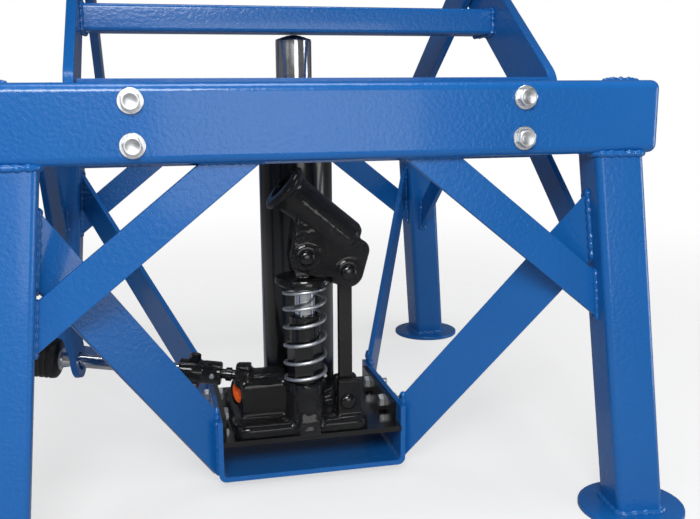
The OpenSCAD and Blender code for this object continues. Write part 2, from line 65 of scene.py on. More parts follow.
def camera(place, heading, dip, roll, lens):
    """Looks from place: heading turns from +Y to +X, dip is below level, all in degrees."""
    yaw, pitch, bank = (math.radians(a) for a in (heading, dip, roll))
    ahead = Vector((math.sin(yaw) * math.cos(pitch), math.cos(yaw) * math.cos(pitch), -math.sin(pitch)))
    level = Vector((math.cos(yaw), -math.sin(yaw), 0))
    below = ahead.cross(level)
    right = level * math.cos(bank) + below * math.sin(bank)
    down = below * math.cos(bank) - level * math.sin(bank)
    data = bpy.data.cameras.new("camera")
    data.lens = lens
    data.sensor_width = 36
    data.clip_start = 0.02
    data.clip_end = 60
    made = bpy.data.objects.new("camera", data)
    scene.collection.objects.link(made)
    made.matrix_world = Matrix.Translation(place) @ Matrix((right, -down, -ahead)).transposed().to_4x4()
    scene.camera = made


def softbox(name, place, target, width, height, watts):
    """White rectangular light at place, aimed at target, in metres."""
    data = bpy.data.lights.new(name, "AREA")
    data.shape = "RECTANGLE"
    data.size, data.size_y = width, height
    data.energy = watts
    made = bpy.data.objects.new(name, data)
    scene.collection.objects.link(made)
    made.location = place
    made.rotation_euler = (Vector(target) - Vector(place)).to_track_quat("-Z", "Y").to_euler()


def studio_world(seen, lit, mirrored):
    """White surroundings whose strength differs for the camera, for soft light and for reflections."""
    world = bpy.data.worlds.new("studio")
    world.use_nodes = True
    tree = world.node_tree
    ray = tree.nodes.new("ShaderNodeLightPath")
    strength = lit
    for kind, level in (("Is Camera Ray", seen), ("Is Glossy Ray", mirrored)):
        step = tree.nodes.new("ShaderNodeMath")
        step.operation = "MULTIPLY_ADD"
        tree.links.new(ray.outputs[kind], step.inputs[0])
        step.inputs[1].default_value = level - lit
        if strength is lit:
            step.inputs[2].default_value = lit
        else:
            tree.links.new(strength, step.inputs[2])
        strength = step.outputs[0]
    tree.links.new(strength, tree.nodes["Background"].inputs["Strength"])
    tree.nodes["Background"].inputs["Color"].default_value = (1, 1, 1, 1)
    scene.world = world


camera(place=(-0.1222, -0.8024, 0.3152), heading=13.2, dip=11.2, roll=0.3, lens=45.15)
scene.view_settings.view_transform = "Standard"
studio_world(seen=1.0, lit=0.26, mirrored=0.13)
softbox("key", (-0.20, -1.10, 0.72), (-0.05, -0.25, 0.32), 0.40, 0.30, 8.0)
softbox("left fill", (-1.3, -1.2, 0.9), (0, -0.1, 0.25), 0.5, 0.8, 2.5)
softbox("top", (0.1, -0.3, 2.2), (0, 0, 0.3), 0.9, 0.9, 20)
softbox("right side", (1.7, -0.6, 0.15), (-0.15, -0.2, 0.2), 0.8, 0.8, 8)
softbox("rail strip", (0.29, -2.2, 0.20), (-0.03, -0.25, 0.29), 0.75, 0.5, 4.0)


# ---------------------------------------------------------------- finishes

class Value:
    """One output of a finish's nodes, so that sums are written as sums."""

    def __init__(self, finish, socket):
        self.finish, self.socket = finish, socket

    def _math(self, operation, first, second):
        return self.finish.add("ShaderNodeMath", {"operation": operation}, {0: first, 1: second})

    def __add__(self, other):
        return self._math("ADD", self, other)

    def __mul__(self, other):
        return self._math("MULTIPLY", self, other)

    __radd__ = __add__
    __rmul__ = __mul__


class Finish:
    """A material of one Principled shader, with its constants set on the shader's own sockets."""

    def __init__(self, name, **constants):
        self.material = bpy.data.materials.new(name)
        self.material.use_nodes = True
        self.tree = self.material.node_tree
        self.shader = self.tree.nodes["Principled BSDF"]
        for socket, value in constants.items():
            self.shader.inputs[socket.replace("_", " ")].default_value = value
        self.place = self.add("ShaderNodeTexCoord", out="Object")

    def add(self, kind, settings=None, sockets=None, out=0):
        made = self.tree.nodes.new(kind)
        for key, value in (settings or {}).items():
            setattr(made, key, value)
        for key, value in (sockets or {}).items():
            if isinstance(value, Value):
                self.tree.links.new(value.socket, made.inputs[key])
            else:
                made.inputs[key].default_value = value
        return Value(self, made.outputs[out])

    def noise(self, scale, detail=2.0, roughness=0.5, stretch=(1, 1, 1)):
        place = self.place
        if stretch != (1, 1, 1):
            place = self.add("ShaderNodeMapping", None, {"Vector": place, "Scale": stretch})
        sockets = {"Vector": place, "Scale": scale, "Detail": detail, "Roughness": roughness}
        return self.add("ShaderNodeTexNoise", None, sockets)

    def between(self, value, low, high, bottom=0.0, top=1.0):
        """value's run from low to high, spread over bottom to top and held there."""
        sockets = {"Value": value, "From Min": low, "From Max": high, "To Min": bottom, "To Max": top}
        return self.add("ShaderNodeMapRange", {"interpolation_type": "SMOOTHSTEP"}, sockets)

    def mix(self, factor, first, second):
        sockets = {0: factor, 6: first, 7: second}
        return self.add("ShaderNodeMix", {"data_type": "RGBA"}, sockets, out=2)

    def feed(self, **sockets):
        for name, value in sockets.items():
            self.tree.links.new(value.socket, self.shader.inputs[name.replace("_", " ")])

    def bump(self, height, distance, strength=1.0):
        sockets = {"Height": height, "Distance": distance, "Strength": strength}
        self.feed(Normal=self.add("ShaderNodeBump", None, sockets))


def colour(red, green, blue):
    return (red, green, blue, 1.0)


def blue_powder_coat():
    coat = Finish("blue powder coat", Coat_Weight=0.30, Coat_Roughness=0.10, Specular_IOR_Level=0.35)
    drift = coat.between(coat.noise(7, 3), 0.1, 0.9)
    speckle = coat.between(coat.noise(1400, 2), 0.35, 0.65)
    deep, bright = colour(0.004, 0.099, 0.345), colour(0.008, 0.123, 0.415)
    base = coat.mix(drift * 0.7 + speckle * 0.3, deep, bright)
    scuffs = coat.between(coat.noise(38, 6, 0.75), 0.62, 0.86)
    coat.feed(Base_Color=coat.mix(scuffs * 0.25, base, colour(0.07, 0.24, 0.50)),
              Roughness=0.22 + 0.10 * drift + 0.12 * scuffs)
    peel = coat.noise(360, 2, 0.4) + 0.35 * coat.noise(950, 1)
    coat.bump(peel, 0.00035, 0.8)
    return coat.material


def black_enamel(name, grain, distance, rough):
    coat = Finish(name, Coat_Weight=0.5, Coat_Roughness=0.07, Specular_IOR_Level=0.30)
    drift = coat.between(coat.noise(24, 4), 0.3, 0.7)
    dust = coat.between(coat.noise(160, 6, 0.7), 0.58, 0.84)
    base = coat.mix(drift, colour(0.003, 0.003, 0.0035), colour(0.007, 0.007, 0.0075))
    coat.feed(Base_Color=coat.mix(dust * 0.35, base, colour(0.028, 0.027, 0.026)),
              Roughness=rough + 0.14 * drift + 0.18 * dust)
    coat.bump(coat.noise(grain, 4, 0.6) + 0.4 * coat.noise(grain * 3, 2), distance)
    return coat.material


def plated(name, tint, dark, low, high, grain, stretch, distance):
    """Metal whose gloss and tone wander, with fine marks drawn out along the piece."""
    metal = Finish(name, Metallic=1.0)
    blotch = metal.between(metal.noise(90, 4, 0.6), 0.3, 0.7)
    marks = metal.noise(grain, 3, 0.6, stretch)
    metal.feed(Base_Color=metal.mix(0.6 * blotch + 0.4 * metal.between(marks, 0.3, 0.7), dark, tint),
               Roughness=metal.between(blotch * 0.6 + marks * 0.4, 0.2, 0.8, low, high))
    metal.bump(marks, distance)
    return metal.material


def moulded(name, low_tint, high_tint, low, high, grain, distance):
    """Rubber or plastic with a fine moulded grain."""
    part = Finish(name, Specular_IOR_Level=0.4)
    blotch = part.between(part.noise(60, 4), 0.3, 0.7)
    part.feed(Base_Color=part.mix(blotch, low_tint, high_tint),
              Roughness=part.between(blotch, 0, 1, low, high))
    part.bump(part.noise(grain, 3, 0.6), distance)
    return part.material


def studio_floor():
    ground = Finish("pale floor", Specular_IOR_Level=0.1)
    soft = ground.between(ground.noise(3, 3), 0.3, 0.7)
    near = ground.add("ShaderNodeMapping", None, {"Vector": ground.place, "Scale": (0.3, 0.3, 0.3)})
    near = ground.add("ShaderNodeTexGradient", {"gradient_type": "SPHERICAL"}, {"Vector": near})
    ground.feed(Base_Color=ground.mix(soft, colour(0.86, 0.86, 0.865), colour(0.88, 0.88, 0.885)),
                Roughness=0.75 + 0.1 * soft, Alpha=ground.between(near, 0.55, 0.95, 0.0, 0.38))
    return ground.material


FINISH = {
    "blue": blue_powder_coat(),
    "black": black_enamel("black enamel", 420, 0.00015, 0.13),
    "cast": black_enamel("black enamel over casting", 560, 0.0030, 0.13),
    "chrome": plated("chrome", colour(0.80, 0.81, 0.83), colour(0.66, 0.67, 0.69), 0.08, 0.18,
                     600, (1, 1, 0.05), 0.00002),
    "rod": plated("chromed rod", colour(0.80, 0.81, 0.83), colour(0.62, 0.63, 0.66), 0.08, 0.20,
                  600, (0.05, 1, 1), 0.00003),
    "zinc": plated("zinc plate", colour(0.74, 0.76, 0.78), colour(0.60, 0.62, 0.64), 0.34, 0.50,
                   500, (1, 1, 1), 0.00006),
    "steel": plated("machined steel", colour(0.50, 0.50, 0.51), colour(0.34, 0.34, 0.35), 0.25, 0.42,
                    700, (1, 1, 0.1), 0.00004),
    "nylon": moulded("black nylon", colour(0.020, 0.020, 0.021), colour(0.034, 0.034, 0.035),
                     0.40, 0.55, 900, 0.00006),
    "rubber": moulded("ribbed rubber", colour(0.012, 0.012, 0.012), colour(0.026, 0.026, 0.025),
                      0.62, 0.80, 1300, 0.00012),
    "knob": moulded("knob rubber", colour(0.010, 0.010, 0.010), colour(0.020, 0.020, 0.020),
                    0.38, 0.55, 1100, 0.00008),
    "orange": moulded("orange plastic", colour(0.80, 0.115, 0.010), colour(0.88, 0.170, 0.020),
                      0.30, 0.42, 700, 0.00005),
}

bpy.ops.mesh.primitive_plane_add(size=8, location=(0, 0, 0))
floor = bpy.context.object
floor.name = "floor"
floor.data.materials.append(studio_floor())


# ---------------------------------------------------------------- shapes, in millimetres

class Shape:
    """Corners and faces, in millimetres, before they become a piece."""

    def __init__(self, corners, faces):
        self.corners = [Vector(c) for c in corners]
        self.faces = [tuple(f) for f in faces]

    def moved(self, matrix):
        return Shape([matrix @ c for c in self.corners], self.faces)

    def at(self, x, y, z):
        return self.moved(Matrix.Translation((x, y, z)))

    def mirrored(self):
        return self.moved(Matrix.Scale(-1, 4, X))

    def __add__(self, other):
        count = len(self.corners)
        return Shape(self.corners + other.corners,
                     self.faces + [tuple(i + count for i in f) for f in other.faces])


def both(shape):
    """A shape and its mirror image on the other side of the stand."""
    return shape + shape.mirrored()


def towards(place, axis, spin=0.0):
    """Turns +Z to axis and the origin to place."""
    turn = Vector(axis).to_track_quat("Z", "Y").to_matrix().to_4x4()
    return Matrix.Translation(place) @ turn @ Matrix.Rotation(spin, 4, "Z")


def span(node):
    """A node's lowest and highest corner, in millimetres."""
    low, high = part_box(node)
    return low / MM, high / MM


def middle(node):
    low, high = span(node)
    return (low + high) / 2


def joint_place(name):
    """A point on a joint's axis, in millimetres."""
    return Vector(joints[name]["pos_m"]) / MM


def loft(rings, closed=False):
    """Skin over rings of equally many points; open ends are capped."""
    count = len(rings[0])
    corners = [c for ring in rings for c in ring]
    faces = []
    for i in range(len(rings) if closed else len(rings) - 1):
        a, b = i * count, ((i + 1) % len(rings)) * count
        for j in range(count):
            k = (j + 1) % count
            faces.append((a + j, a + k, b + k, b + j))
    if not closed:
        faces.append(tuple(reversed(range(count))))
        faces.append(tuple(range(len(corners) - count, len(corners))))
    return Shape(corners, faces)


def block(low, high):
    (x0, y0, z0), (x1, y1, z1) = low, high
    ring = [(x0, y0), (x1, y0), (x1, y1), (x0, y1)]
    return loft([[(x, y, z) for x, y in ring] for z in (z0, z1)])


def round_outline(width, depth, radius, steps=6):
    points = []
    for sx, sy, start in ((1, 1, 0), (-1, 1, 90), (-1, -1, 180), (1, -1, 270)):
        for i in range(steps + 1):
            a = math.radians(start + 90 * i / steps)
            points.append((sx * (width / 2 - radius) + radius * math.cos(a),
                           sy * (depth / 2 - radius) + radius * math.sin(a)))
    return points


def hull_outline(circles, steps=40):
    """Convex outline round circles of (x, y, radius)."""
    points = sorted((x + r * math.cos(2 * math.pi * i / steps), y + r * math.sin(2 * math.pi * i / steps))
                    for x, y, r in circles for i in range(steps))
    halves = []
    for run in (points, points[::-1]):
        half = []
        for p in run:
            while len(half) > 1 and ((half[-1][0] - half[-2][0]) * (p[1] - half[-2][1])
                                     - (half[-1][1] - half[-2][1]) * (p[0] - half[-2][0])) <= 1e-9:
                half.pop()
            half.append(p)
        halves += half[:-1]
    return halves


def plate_xz(outline, y0, y1):
    """Outline of (x, z) made thick from y0 to y1."""
    return loft([[(x, y, z) for x, z in outline] for y in (y0, y1)])


def plate_yz(outline, x0, x1):
    """Outline of (y, z) made thick from x0 to x1."""
    return loft([[(x, y, z) for y, z in outline] for x in (x0, x1)])


def taken(obj):
    """The shape that an object's modifiers make, after which the object is removed."""
    bpy.context.view_layer.update()
    seen = obj.evaluated_get(bpy.context.evaluated_depsgraph_get())
    mesh = seen.to_mesh()
    shape = Shape([v.co / MM for v in mesh.vertices], [tuple(p.vertices) for p in mesh.polygons])
    seen.to_mesh_clear()
    data = obj.data
    bpy.data.objects.remove(obj)
    (bpy.data.meshes if isinstance(data, bpy.types.Mesh) else bpy.data.curves).remove(data)
    return shape


def helper(shape, edges=()):
    mesh = bpy.data.meshes.new("helper")
    mesh.from_pydata([c * MM for c in shape.corners], list(edges), shape.faces)
    made = bpy.data.objects.new("helper", mesh)
    scene.collection.objects.link(made)
    return made


def turned(profile, steps=48, ring=False):
    """Lathe work round Z: profile of (radius, height) from top to bottom; a ring's profile closes."""
    edges = [(i, i + 1) for i in range(len(profile) - 1)]
    if ring:
        edges.append((len(profile) - 1, 0))
    made = helper(Shape([(r, 0, z) for r, z in profile], []), edges)
    screw = made.modifiers.new("Lathe", "SCREW")
    screw.steps = screw.render_steps = steps
    screw.use_merge_vertices = True
    screw.merge_threshold = 1e-6
    return taken(made)


def rod(radius, length, edge=0.5, steps=48):
    """Turned bar from the origin up +Z with chamfered ends."""
    return turned([(0, length), (radius - edge, length), (radius, length - edge), (radius, edge),
                   (radius - edge, 0), (0, 0)], steps)


def threaded(radius, length, pitch=1.25):
    """Bolt end with thread rings, from the origin up +Z."""
    profile = [(0, length), (radius * 0.78, length), (radius, length - 0.8)]
    z = length - 0.8
    while z > pitch:
        profile += [(radius * 0.84, z - pitch / 2), (radius, z - pitch)]
        z -= pitch
    return turned(profile + [(radius, 0), (0, 0)], 28)


def washer(inner, outer, height, edge=0.3):
    return turned([(inner, height), (outer - edge, height), (outer, height - edge),
                   (outer, edge), (outer - edge, 0), (inner, 0)], 56, ring=True)


def hexagon(across, height, bottom_chamfer=False, dish=0.0):
    """Chamfered hexagon from the origin up +Z, across flats, with a shallow dish on top."""
    steps, half = 48, across / 2
    face, dish_rim, dish_floor = half * 0.95, half * 0.78, half * 0.66
    angles = [2 * math.pi * i / steps for i in range(steps)]
    edge = [half / math.cos((a + math.pi / 6) % (math.pi / 3) - math.pi / 6) for a in angles]
    drop = [(r - half * 0.96) * 0.55 for r in edge]

    def ring_of(radii, heights):
        return [(r * math.cos(a), r * math.sin(a), h) for r, a, h in zip(radii, angles, heights)]

    def round_ring(radius, z):
        return ring_of([radius] * steps, [z] * steps)

    if bottom_chamfer:
        rings = [round_ring(face, 0), ring_of(edge, drop)]
    else:
        rings = [ring_of(edge, [0] * steps)]
    rings += [ring_of(edge, [height - d for d in drop]), round_ring(face, height)]
    if dish:
        rings += [round_ring(dish_rim, height), round_ring(dish_floor, height - dish)]
    return loft(rings)


def bead(path, radius, closed=True, seed=1):
    """Weld bead along a path: overlapping puddles of slightly uneven size."""
    draw = random.Random(seed)
    spacing, wave, uneven, wander, thin_end, sides = 0.45, 0.13, 0.10, 0.1, 0.45, 10
    legs = list(zip(path, path[1:] + path[:1] if closed else path[1:]))
    lengths = [(b - a).length for a, b in legs]
    total = sum(lengths)
    count = max(6, int(total / (radius * spacing)))
    points, passed, index = [], 0.0, 0
    for i in range(count if closed else count + 1):
        goal = total * i / count
        while index < len(legs) - 1 and passed + lengths[index] < goal:
            passed += lengths[index]
            index += 1
        a, b = legs[index]
        share = min(1.0, (goal - passed) / max(lengths[index], 1e-9))
        points.append(a.lerp(b, share))
    if closed:
        normal = sum((a.cross(b) for a, b in legs), Vector()).normalized()
    else:
        run = (path[-1] - path[0]).normalized()
        normal = run.cross(Z if abs(run.z) < 0.9 else X).normalized()
    rings = []
    for i, p in enumerate(points):
        after = points[(i + 1) % len(points)] if closed or i + 1 < len(points) else p
        before = points[i - 1] if closed or i else p
        ahead = (after - before).normalized()
        aside = ahead.cross(normal).normalized()
        up = aside.cross(ahead)
        swell = radius * (1 + wave * math.cos(i * 1.05) + draw.uniform(-uneven, uneven))
        if not closed and i in (0, len(points) - 1):
            swell *= thin_end
        shift = Vector([draw.uniform(-wander, wander) * radius for _ in range(3)])
        rings.append([p + shift + swell * (aside * math.cos(t) + up * math.sin(t))
                      for t in [2 * math.pi * k / sides for k in range(sides)]])
    return loft(rings, closed)


def cad_shape(node, test=None):
    """A copy of a CAD node's mesh, merged, with flat areas made whole; test keeps some of its solids."""
    work = bmesh.new()
    work.from_mesh(frame["nodes"][node].data)
    bmesh.ops.remove_doubles(work, verts=work.verts, dist=2e-6)
    bmesh.ops.dissolve_limit(work, angle_limit=math.radians(0.6), verts=work.verts, edges=work.edges)
    work.verts.ensure_lookup_table()
    shape = Shape([v.co / MM for v in work.verts], [[v.index for v in f.verts] for f in work.faces])
    work.free()
    if test is None:
        return shape
    kept = [f for f in shape.faces if all(test(shape.corners[i]) for i in f)]
    used = sorted({i for f in kept for i in f})
    new = {old: i for i, old in enumerate(used)}
    return Shape([shape.corners[i] for i in used], [[new[i] for i in f] for f in kept])


def loop_through(points):
    """Points of a nearly flat patch, in order round its middle."""
    centre = sum(points, Vector()) / len(points)
    far = max(points, key=lambda p: (p - centre).length) - centre
    normal = max((far.cross(p - centre) for p in points), key=lambda v: v.length).normalized()
    aside = normal.cross(far).normalized()
    far = far.normalized()
    return sorted(points, key=lambda p: math.atan2((p - centre).dot(aside), (p - centre).dot(far)))


# ---------------------------------------------------------------- pieces

# Each coat is the record's material slot and the finish that shows it.
BLUE, ZINC, CHROME = ("blue_paint", "blue"), ("zinc", "zinc"), ("chrome", "chrome")
BLACK, CAST = ("black_paint", "black"), ("black_paint", "cast")
CHROMED_ROD, SADDLE, STEEL = ("chrome", "rod"), ("chrome", "steel"), ("bare_steel", "steel")
RUBBER, NYLON = ("rubber", "rubber"), ("roller_nylon", "nylon")
KNOB, ORANGE = ("knob_rubber", "knob"), ("orange_plastic", "orange")

CAST_GRAIN = bpy.data.textures.new("casting grain", "CLOUDS")
CAST_GRAIN.noise_scale = 0.0028
CAST_GRAIN.noise_depth = 3


def outward_mesh(name, shape, smooth):
    """A mesh of the shape whose faces point outwards."""
    mesh = bpy.data.meshes.new(name)
    work = bmesh.new()
    corners = [work.verts.new(c * MM) for c in shape.corners]
    for f in shape.faces:
        work.faces.new([corners[i] for i in f])
    bmesh.ops.recalc_face_normals(work, faces=work.faces)
    for f in work.faces:
        f.smooth = smooth
    work.to_mesh(mesh)
    work.free()
    return mesh


def piece(name, body, coat, shape, *nodes, bevel=0.0, segments=3, smooth=38):
    """Makes the shape an object that rides on its body and stands for its CAD nodes."""
    slot, finish = coat
    mesh = outward_mesh(name, shape, True)
    mesh.materials.append(FINISH[finish])
    made = bpy.data.objects.new(name, mesh)
    scene.collection.objects.link(made)
    if bevel:
        edge = made.modifiers.new("Rounded edges", "BEVEL")
        edge.width = bevel * MM
        edge.segments = segments
        edge.limit_method = "ANGLE"
        edge.angle_limit = math.radians(32)
        edge.harden_normals = True
        edge.miter_outer = "MITER_ARC"
    else:
        mesh.set_sharp_from_angle(angle=math.radians(smooth))
    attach(made, body)
    if nodes:
        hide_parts(*nodes)
    return made


def casting(name, body, shape, cuts, *nodes, voxel, rounds, rough=0.3):
    """Solids run together as one casting, then drilled by cuts."""
    blank = helper(shape)
    remesh = blank.modifiers.new("Fuse", "REMESH")
    remesh.mode = "VOXEL"
    remesh.voxel_size = voxel * MM
    soften = blank.modifiers.new("Soften", "SMOOTH")
    soften.factor = 0.5
    soften.iterations = rounds
    tools = []
    for cut in cuts:
        tool = bpy.data.objects.new("drill", outward_mesh("drill", cut, False))
        scene.collection.objects.link(tool)
        drill = blank.modifiers.new("Drill", "BOOLEAN")
        drill.operation = "DIFFERENCE"
        drill.solver = "EXACT"
        drill.object = tool
        tools.append(tool)
    cast = taken(blank)
    for tool in tools:
        data = tool.data
        bpy.data.objects.remove(tool)
        bpy.data.meshes.remove(data)
    made = piece(name, body, CAST, cast, *nodes, smooth=50)
    grain = made.modifiers.new("Cast surface", "DISPLACE")
    grain.texture = CAST_GRAIN
    grain.texture_coords = "LOCAL"
    grain.strength = rough * MM
    grain.mid_level = 0.5
    return made


def base_ring():
    """Ring of four rectangular tubes; gives back the beads at its corners."""
    corner, weld, set_in = 6, 2.2, 0.6
    for node in ("front_rail", "rear_rail"):
        piece(node + "_tube", "stand", BLUE, block(*span(node)), node, bevel=corner, segments=6)
    low, high = span("side_rails")
    thick = high.x - span("roller_tracks")[1].x
    outline = round_outline(thick, high.z - low.z, corner)
    centre = Vector((high.x - thick / 2, 0, (low.z + high.z) / 2))
    rail = loft([[(centre.x + a, y, centre.z + b) for a, b in outline] for y in (low.y, high.y)])
    piece("side_rail_tubes", "stand", BLUE, both(rail), "side_rails")
    welds = Shape([], [])
    for seed, y in enumerate((low.y + set_in, high.y - set_in)):
        loop = [Vector((centre.x + a, y, centre.z + b)) for a, b in outline]
        welds += both(bead(loop, weld, seed=40 + seed))
    return welds


def legs():
    """Four splayed legs; gives back the beads at their feet and tops."""
    foot_weld, top_weld = 2.9, 2.4
    welds = Shape([], [])
    for seed, node in enumerate(("leg_front_left", "leg_front_right", "leg_rear_left", "leg_rear_right")):
        shape = cad_shape(node)
        piece(node + "_tube", "stand", BLUE, shape, node, smooth=28)
        low, high = span(node)
        for at_top, (z, weld) in enumerate(((low.z, foot_weld), (high.z, top_weld))):
            level = [c for c in shape.corners if abs(c.z - z) < 0.01]
            outline = [Vector((x, y, z)) for x, y in hull_outline([(c.x, c.y, 0) for c in level], 1)]
            welds += bead(outline, weld, seed=seed * 2 + at_top)
    return welds


def foot_discs():
    high = span("foot_discs")[1]
    radius, edge, under, thick = 39, 1.2, 0.5, high.z
    curve = [(radius - edge + edge * math.sin(a), thick - edge + edge * math.cos(a))
             for a in [math.radians(15 * i) for i in range(7)]]
    disc = turned([(0, thick)] + curve + [(radius, under), (radius - under, 0), (0, 0)], 96)
    discs = Shape([], [])
    for sx in (-1, 1):
        for sy in (-1, 1):
            discs += disc.at(sx * (high.x - radius), sy * (high.y - radius), 0)
    piece("foot_disc_plates", "stand", BLUE, discs, "foot_discs")


def braces_and_straps():
    """Flat bars of the frame; gives back a bead round each of their welded ends."""
    ring_weld, leg_weld, cradle_weld, strap_weld = 1.8, 2.2, 2.2, 2.4
    welds = Shape([], [])
    ring_bottom = span("leg_front_left")[1].z - 0.1
    wall = span("cradle")[1].x
    for seed, node in enumerate(("front_braces", "rear_braces", "left_braces", "right_braces")):
        piece(node + "_bars", "stand", BLUE, cad_shape(node), node, bevel=0.8)
        lengthways = node in ("left_braces", "right_braces")
        for side in (-1, 1):
            half = cad_shape(node, lambda c: (c.y if lengthways else c.x) * side > 0)
            top = [c for c in half.corners if c.z > ring_bottom]
            rest = [c for c in half.corners if c.z <= ring_bottom]
            welds += bead(loop_through(top), ring_weld, seed=60 + 2 * seed + side)
            welds += bead(loop_through(rest), leg_weld, seed=70 + 2 * seed + side)
    for seed, node in enumerate(("front_straps", "rear_straps")):
        piece(node + "_bars", "stand", BLUE, cad_shape(node), node, bevel=0.8)
        for side in (-1, 1):
            half = cad_shape(node, lambda c: c.x * side > 0)
            inner = [c for c in half.corners if abs(c.x) < wall + 1]
            outer = [c for c in half.corners if abs(c.x) > wall + 60]
            welds += bead(loop_through(inner), cradle_weld, seed=80 + 2 * seed + side)
            welds += bead(loop_through(outer), strap_weld, seed=90 + 2 * seed + side)
    return welds


def cradle_parts():
    piece("cradle_channel", "stand", BLUE, cad_shape("cradle"), "cradle", bevel=0.9)
    piece("raised_jack_plate", "stand", BLACK, cad_shape("jack_plate"), "jack_plate", bevel=0.7)
    piece("rod_hanger_bar", "stand", BLUE, cad_shape("rod_hanger"), "rod_hanger", bevel=0.8)
    low, high = span("cradle_bolts")
    wall, head_seat = span("cradle")[1].x, 68
    across, thick, shank, pitch = 10, 4, 3, 1.0
    radius = across / math.sqrt(3)
    z = (low.z + high.z) / 2
    bolts = Shape([], [])
    for y in (low.y + radius, high.y - radius):
        bolts += hexagon(across, thick, dish=0.5).moved(towards((head_seat, y, z), -X))
        bolts += hexagon(across, thick, True).moved(towards((wall, y, z), X))
        bolts += threaded(shank, high.x - wall, pitch).moved(towards((wall, y, z), X))
    piece("cradle_side_bolts", "stand", ZINC, both(bolts), "cradle_bolts")


def carrier_parts():
    piece("pivot_carrier_bracket", "stand", BLUE, cad_shape("pivot_carrier"), "pivot_carrier",
          bevel=0.8)
    piece("roller_track_angles", "stand", BLUE, cad_shape("roller_tracks"), "roller_tracks",
          bevel=0.6)
    face = span("front_rail")[0].y
    low, high = span("carrier_bolts")
    nut_face = span("carrier_nuts")[0].y
    shank, across, head, nut = 4, 11, 5.3, 6.5
    disc, sheet = 8, 1.6
    places = [(sx * (high.x - disc), z) for sx in (-1, 1) for z in (low.z + disc, high.z - disc)]
    bolts, nuts = Shape([], []), Shape([], [])
    for index, (x, z) in enumerate(places):
        turn = 0.35 + 0.8 * index
        bolts += washer(4.2, disc, sheet).moved(towards((x, face, z), -Y))
        bolts += hexagon(across, head, dish=0.5).moved(towards((x, face - sheet, z), -Y, turn))
        bolts += threaded(shank, high.y - nut_face).moved(towards((x, nut_face, z), Y))
        nuts += washer(4.3, disc, sheet).moved(towards((x, nut_face, z), Y))
        nuts += hexagon(across, nut, True).moved(towards((x, nut_face + sheet, z), Y, turn))
    piece("front_rail_bolts", "stand", ZINC, bolts, "carrier_bolts")
    piece("front_rail_nuts", "stand", ZINC, nuts, "carrier_nuts")


# Pivots of the scissor on the right side; the left side mirrors them.
PIVOT = joint_place("scissor_lift")
CROSSING = joint_place("arm_crossing")
HINGE = joint_place("platform_level")
LOWER_AXLE = joint_place("lower_right_roller_spin")
TOP_AXLE = joint_place("top_right_roller_spin")
PIN_RADIUS = 5
PIN_GAP = 0.3


def arm_bar(start, end, x0, x1, width):
    """Flat bar with round ends between two pivots, in the Y-Z plane."""
    ahead = (end - start).normalized()
    aside = Vector((0, -ahead.z, ahead.y))
    steps = 16
    outline = []
    for centre, turn in ((end, -90), (start, 90)):
        for i in range(steps + 1):
            a = math.radians(turn + 180 * i / steps)
            p = centre + width / 2 * (ahead * math.cos(a) + aside * math.sin(a))
            outline.append((p.y, p.z))
    return plate_yz(outline, x0, x1)


def headed(x0, x1, radius, head, thick):
    """Pin along X with a grooved clip head outside each end."""
    bar = rod(radius, x1 - x0, 0.2).moved(towards((x0, 0, 0), X))
    cap = turned([(0, thick - 0.6), (radius * 0.55, thick - 0.6), (radius * 0.7, thick),
                  (head - 0.7, thick), (head, thick - 0.7), (head, 0.3), (head - 0.3, 0), (0, 0)], 40)
    return bar + cap.moved(towards((x1, 0, 0), X)) + cap.moved(towards((x0, 0, 0), -X))


def scissor_arms():
    (front_in, _, front_low), (front_out, _, _) = span("front_arm_right")
    (rear_in, _, rear_low), (rear_out, _, _) = span("rear_arm_right")
    front = arm_bar(PIVOT, TOP_AXLE, front_in, front_out, 2 * (PIVOT.z - front_low))
    rear = arm_bar(LOWER_AXLE, HINGE, rear_in, rear_out, 2 * (LOWER_AXLE.z - rear_low))
    for side, front_bar, rear_bar in (("right", front, rear), ("left", front.mirrored(), rear.mirrored())):
        piece(f"front_arm_{side}_bar", "front_arms", BLUE, front_bar, f"front_arm_{side}", bevel=0.9)
        piece(f"rear_arm_{side}_bar", "rear_arms", BLUE, rear_bar, f"rear_arm_{side}", bevel=0.9)


def tubes_between_arms():
    """Lift beam between the front arms and tie tube between the rear arms, with their beads."""
    piece("lift_beam_tube", "front_arms", BLUE, cad_shape("lift_beam"), "lift_beam", smooth=28)
    low, high = span("lift_beam")
    corner, weld = 3, 2.0
    loop = [Vector((0, (low.y + high.y) / 2 + a, (low.z + high.z) / 2 + b))
            for a, b in round_outline(high.y - low.y, high.z - low.z, corner)]
    ends = bead([p + X * (high.x - 0.8) for p in loop], weld, seed=101)
    piece("lift_beam_welds", "front_arms", BLUE, both(ends), smooth=60)
    piece("tie_tube", "rear_arms", BLUE, cad_shape("rear_tie_tube"), "rear_tie_tube", smooth=28)
    tie, radius, steps = middle("rear_tie_tube"), 10, 24
    x = span("rear_arm_right")[0].x - 0.5
    circle = [Vector((x, tie.y + radius * math.cos(a), tie.z + radius * math.sin(a)))
              for a in [2 * math.pi * i / steps for i in range(steps)]]
    piece("tie_tube_welds", "rear_arms", BLUE, both(bead(circle, weld, seed=104)), smooth=60)


